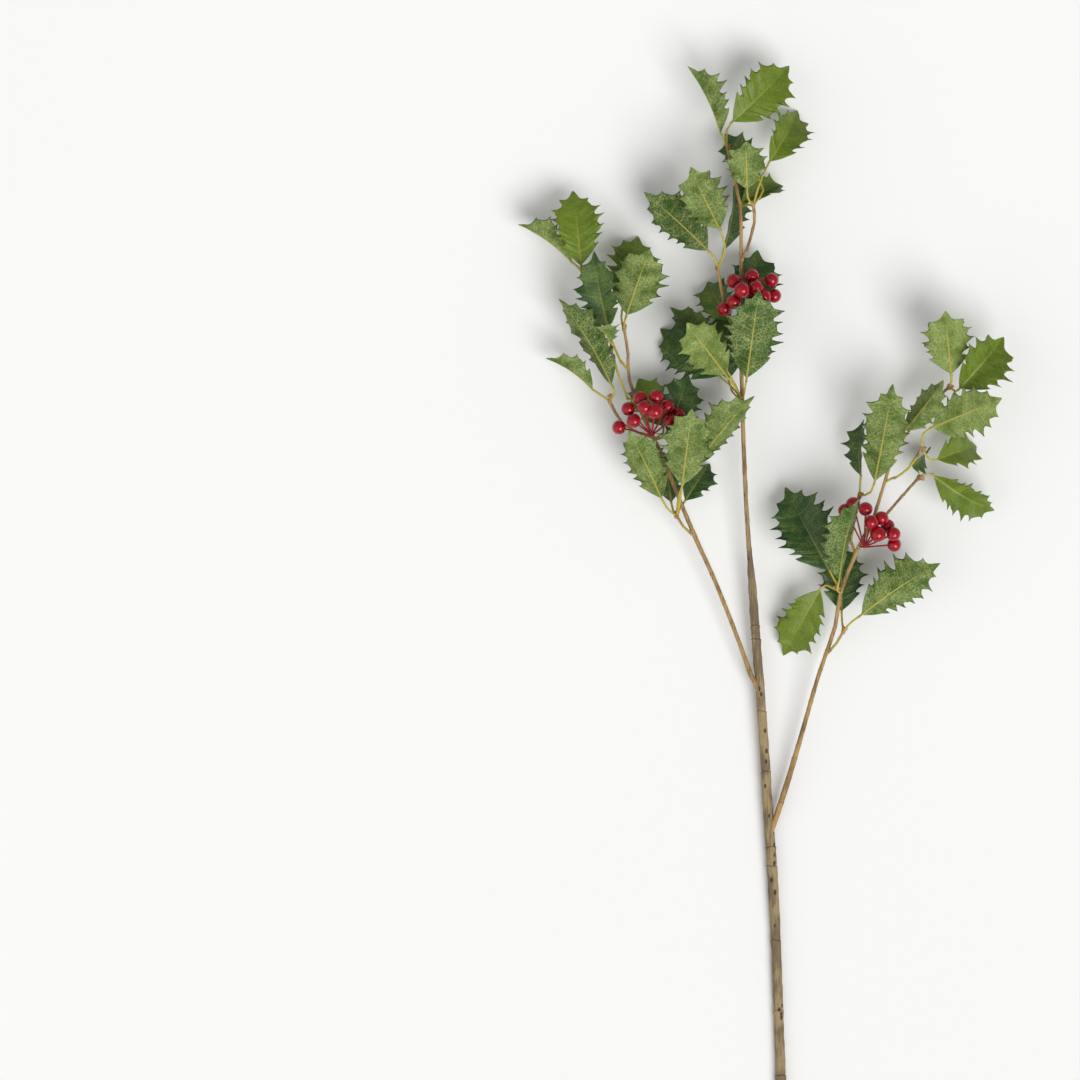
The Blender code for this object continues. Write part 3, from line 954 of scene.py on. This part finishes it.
def mark_wood(mesh, node):
    """Gives each point of the wood its age and greenness, and its part in a ring's lip or crack."""
    points = points_of(mesh)
    low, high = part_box(node)
    share = (points[:, 1] - low.y) / (high.y - low.y)
    thick = thickness(mesh)
    green = 1 - np.clip((thick - STALK_THICKNESS) / STALK_FADE, 0, 1)
    lip = np.zeros(len(points))
    crack = np.zeros(len(points))
    size = np.clip(thick / RINGED_THICKNESS, 0.2, 1) ** 0.6
    for number, ring in enumerate(ring_places(node)):
        slant = 0.4 * MM * np.sin((points[:, 0] + points[:, 2]) / (2.2 * MM) + 2.4 * number)
        away = ((share - ring) * (high.y - low.y) + slant) / (size * MM)
        lip += np.where(away < 0, np.exp(np.minimum(away, 0) / 2.2), np.exp(-((away / 0.45) ** 2)))
        crack += np.exp(-(((away - 0.75) / 0.45) ** 2))
    age = np.full(len(points), 0.2)
    if node == "main_stem":
        age = np.clip((0.75 - share) / 0.2, 0.2, 1)
    give(mesh, "green", green)
    give(mesh, "lip", lip * size * (1 - green))
    give(mesh, "crack", crack * (1 - green) * size**2)
    give(mesh, "age", age)


def wood_mesh(node, settings, tree, bark):
    """Rounded, grained wood over a stem, branch or twig, with its stalks and a collar."""
    shape = merged_copy(node)
    if node in GROWS_FROM:
        add_collar(shape, node)
    mesh = bpy.data.meshes.new(node)
    shape.to_mesh(mesh)
    shape.free()
    obj = place_object("work", mesh)
    remesh = obj.modifiers.new("remesh", "REMESH")
    remesh.mode = "VOXEL"
    remesh.voxel_size = settings.stem_grain if node == "main_stem" else settings.twig_grain
    smooth = obj.modifiers.new("smooth", "SMOOTH")
    smooth.factor = 0.5
    smooth.iterations = 8
    rounded = evaluated_mesh(obj)
    mark_wood(rounded, node)
    # What the smoothing took off the wood.
    plump = 0.12 * MM
    values = {"Furrow": settings.furrow, "Ring": settings.ring, "Plump": plump, "Bark": bark}
    return run_tree(rounded, tree, values)


class HOLLY_OT_wood(bpy.types.Operator):
    """Grows bark over the stem, branches and twigs"""

    bl_idname = "holly.wood"
    bl_label = "Grow Wood"

    def execute(self, context):
        settings = context.scene.holly_wood
        bark = bark_material(settings)
        tree = bark_tree()
        for node in WOOD:
            mesh = wood_mesh(node, settings, tree, bark)
            settle(mesh, WOOD_SETTLING)
            finish_piece(node + "_bark", mesh, [node])
        return {"FINISHED"}


# ---- Buds ----


def bud_tree():
    """Pointed buds on points, turned to each point's axis."""
    bench, given, made = new_tree("buds", ["Length"], ["Scales"])
    ball = bench.add("GeometryNodeMeshUVSphere", {}, {"Segments": 20, "Rings": 16, "Radius": 1.0})
    x, y, z = bench.parts(bench.add("GeometryNodeInputPosition"))
    slim = 0.42 - (z + 1) * 0.12
    bud = bench.move(ball, Position=bench.vector(x * slim, y * slim, (z + 1) * 0.5))
    range_of_sizes = {2: 0.75, 3: 1.15, "Seed": 4}
    size = bench.add("FunctionNodeRandomValue", {"data_type": "FLOAT"}, range_of_sizes, 1)
    values = {
        "Points": given["Geometry"],
        "Instance": bud,
        "Rotation": bench.upright(bench.own("axis", "FLOAT_VECTOR")),
        "Scale": size * given["Length"],
    }
    buds = bench.add("GeometryNodeInstanceOnPoints", {}, values)
    return end_tree(bench, bench.paint(buds, given["Scales"]), made)


def whorls():
    """Where the stalks of leaves that grow together meet, each with the feet of those leaves."""
    feet = {}
    for node in LEAVES:
        feet.setdefault(node.rpartition("_")[0], []).append(Blade(node).foot)
    every_foot = np.concatenate(list(feet.values()))
    spots = []
    for node in WOOD:
        for spot in ball_centres(node, BUD_RADIUS, BUD_STRETCH, BUD_FACETS):
            if np.linalg.norm(every_foot - spot, axis=1).min() > SHORTEST_STALK:
                spots.append(spot)
    found = []
    for group in feet.values():
        gaps = [np.linalg.norm(group - spot, axis=1).mean() for spot in spots]
        if min(gaps) < LONGEST_STALK:
            found.append((spots[int(np.argmin(gaps))], np.array(group)))
    return found


class HOLLY_OT_buds(bpy.types.Operator):
    """Sets small brown buds where the leaf stalks meet"""

    bl_idname = "holly.buds"
    bl_label = "Set Buds"

    def execute(self, context):
        settings = context.scene.holly_wood
        points, axes = [], []
        for centre, feet in whorls():
            out = (feet - centre).mean(0)
            out /= np.linalg.norm(out)
            aside = np.cross(out, (0, 0, 1))
            for lean in BUD_LEANS:
                points.append(centre + out * 0.6 * MM)
                axes.append(out + aside * lean + (0, 0, 0.3))
        if not points:
            raise RuntimeError("no whorl was found in the wood")
        mesh = bpy.data.meshes.new("bud_points")
        mesh.from_pydata(points, [], [])
        give(mesh, "axis", axes)
        values = {"Length": settings.bud_length, "Scales": bud_material(settings)}
        finish_piece("buds", run_tree(mesh, bud_tree(), values), [])
        return {"FINISHED"}


# ---- Berries ----


def berry_tree():
    """Round berries on points that have a radius, and a tube along every edge."""
    bench, given, made = new_tree("berries", ("Stalk radius", "Rise"), ("Skin", "Stalk"))
    ball = bench.add("GeometryNodeMeshUVSphere", {}, {"Segments": 48, "Rings": 32, "Radius": 1.0})
    x, y, z = bench.parts(bench.add("GeometryNodeInputPosition"))
    off_axis = x * x + y * y
    dimple = off_axis.fade(0.10, 0.0) * z * 0.06
    nib = off_axis.fade(0.012, 0.002) * z.fade(0.5, 0.9) * 0.07
    skin = bench.vector(x, y, z * 0.97 - dimple + nib)
    radius = bench.own("radius")
    values = {
        "Points": given["Geometry"],
        "Selection": bench.add("FunctionNodeCompare", {"data_type": "FLOAT"}, {0: radius, 1: 0.0}),
        "Instance": bench.move(bench.keep(ball, "pole", z), Position=skin),
        "Rotation": bench.upright(bench.own("axis", "FLOAT_VECTOR")),
        "Scale": radius,
    }
    berries = bench.add("GeometryNodeInstanceOnPoints", {}, values)

    lines = bench.add("GeometryNodeSplitEdges", {}, {0: given["Geometry"]})
    curve = bench.add("GeometryNodeMeshToCurve", {}, {0: lines})
    curve = bench.add("GeometryNodeResampleCurve", {}, {0: curve, "Count": 14})
    factor = bench.add("GeometryNodeSplineParameter", {}, {}, "Factor")
    arch = bench.vector(z=factor * (1 - factor) * 4 * given["Rise"])
    curve = bench.move(curve, Offset=arch)
    values = {"Resolution": 10, "Radius": given["Stalk radius"]}
    ring = bench.add("GeometryNodeCurvePrimitiveCircle", {}, values)
    values = {"Curve": curve, "Profile Curve": ring, "Fill Caps": True}
    tube = bench.add("GeometryNodeCurveToMesh", {}, values)
    both = bench.join(bench.paint(tube, given["Stalk"]), bench.paint(berries, given["Skin"]))
    return end_tree(bench, both, made)


def cluster_points(node, plumpness):
    """A cluster's knuckle, with an edge to the wood and one to each berry.

    A berry's point has its radius, and every point has the way to it from the knuckle.
    """
    wood = surface(node_mesh(GROWS_FROM[node]))
    points = corners(node)
    gaps = [wood.find_nearest(point)[3] for point in points]
    knuckle = Vector(points[int(np.argmin(gaps))])
    landing, normal, _, _ = wood.find_nearest(knuckle)
    centres, radii = [], []
    for radius in BERRY_RADII:
        found = ball_centres(node, radius, 1, BERRY_FACETS)
        centres += found
        radii += [radius * plumpness] * len(found)
    if not centres:
        raise RuntimeError(f"no berry was found in {node}")
    knuckle += (Vector(np.mean(centres, axis=0)) - knuckle).normalized() * 1.2 * MM
    rows = [knuckle, landing - normal * 0.8 * MM, *(Vector(centre) for centre in centres)]
    mesh = bpy.data.meshes.new(node)
    mesh.from_pydata(rows, [(0, number) for number in range(1, len(rows))], [])
    give(mesh, "radius", [0, 0, *radii])
    give(mesh, "axis", [row - knuckle for row in rows])
    return mesh


class HOLLY_OT_berries(bpy.types.Operator):
    """Hangs round berries on stalks that fan out from each cluster's knuckle"""

    bl_idname = "holly.berries"
    bl_label = "Hang Berries"

    def execute(self, context):
        settings = context.scene.holly_berries
        tree = berry_tree()
        values = {
            "Stalk radius": settings.stalk_radius,
            "Rise": settings.stalk_rise,
            "Skin": berry_material(settings),
            "Stalk": berry_stalk_material(settings),
        }
        for node in BERRIES:
            mesh = run_tree(cluster_points(node, settings.plumpness), tree, values)
            finish_piece(node + "_ripe", mesh, [node])
        return {"FINISHED"}


# ---- Stage ----


def soft_sun(name, tilt, turn, softness, power):
    """A sun that leans by `tilt`, turned by `turn` and `softness` wide, all in degrees."""
    lamp = bpy.data.lights.new(name, "SUN")
    lamp.angle = math.radians(softness)
    lamp.energy = power
    light = place_object(name, lamp)
    light.rotation_euler = (math.radians(tilt), 0, math.radians(turn))


class HOLLY_OT_stage(bpy.types.Operator):
    """Sets the floor, the lights and a camera that looks straight down"""

    bl_idname = "holly.stage"
    bl_label = "Set Stage"

    def execute(self, context):
        settings = context.scene.holly_stage
        low, high = CAD_BOX

        half = settings.floor_size / 2
        mesh = bpy.data.meshes.new("floor")
        square = [(-half, -half, 0), (half, -half, 0), (half, half, 0), (-half, half, 0)]
        mesh.from_pydata(square, [], [(0, 1, 2, 3)])
        floor = place_object("floor", mesh)
        floor.location.z = low.z
        mesh.materials.append(floor_material(settings))

        soft_sun("key", tilt=36, turn=40, softness=40, power=2.45)
        soft_sun("fill", tilt=50, turn=-65, softness=70, power=0.7)
        world = bpy.data.worlds.new("studio")
        world.use_nodes = True
        sky = world.node_tree.nodes["Background"].inputs
        sky["Color"].default_value = (1, 1, 1, 1)
        bench = Bench(world.node_tree)
        seen = bench.add("ShaderNodeLightPath", output="Is Camera Ray")
        bright = seen * (1 - settings.room_light) + settings.room_light
        world.node_tree.links.new(bright.socket, sky["Strength"])
        context.scene.world = world
        context.scene.view_settings.view_transform = "Standard"

        camera = bpy.data.cameras.new("camera")
        camera.lens = camera.sensor_width * settings.distance / settings.view_width
        camera.clip_end = 100
        eye = place_object("camera", camera)
        height = settings.distance + (low.z + high.z) / 2
        eye.location = (settings.view_aside, settings.view_up, height)
        context.scene.camera = eye
        return {"FINISHED"}


OPERATORS = (HOLLY_OT_leaves, HOLLY_OT_wood, HOLLY_OT_buds, HOLLY_OT_berries, HOLLY_OT_stage)
SETTINGS = {
    "holly_leaves": HollyLeafSettings,
    "holly_wood": HollyWoodSettings,
    "holly_berries": HollyBerrySettings,
    "holly_stage": HollyStageSettings,
}


class HOLLY_PT_panel(bpy.types.Panel):
    bl_label = "Holly Sprig"
    bl_idname = "HOLLY_PT_panel"
    bl_space_type = "VIEW_3D"
    bl_region_type = "UI"
    bl_category = "Holly"

    def draw(self, context):
        for name, group in SETTINGS.items():
            box = self.layout.box()
            for field in group.__annotations__:
                box.prop(getattr(context.scene, name), field)
        for operator in OPERATORS:
            self.layout.operator(operator.bl_idname)


def register():
    for group in (*SETTINGS.values(), *OPERATORS, HOLLY_PT_panel):
        bpy.utils.register_class(group)
    for name, group in SETTINGS.items():
        setattr(bpy.types.Scene, name, bpy.props.PointerProperty(type=group))


def unregister():
    for name in SETTINGS:
        delattr(bpy.types.Scene, name)
    for group in (HOLLY_PT_panel, *OPERATORS, *SETTINGS.values()):
        bpy.utils.unregister_class(group)


def main():
    register()
    bpy.ops.holly.leaves()
    bpy.ops.holly.wood()
    bpy.ops.holly.buds()
    bpy.ops.holly.berries()
    bpy.ops.holly.stage()


if __name__ == "__main__":
    main()
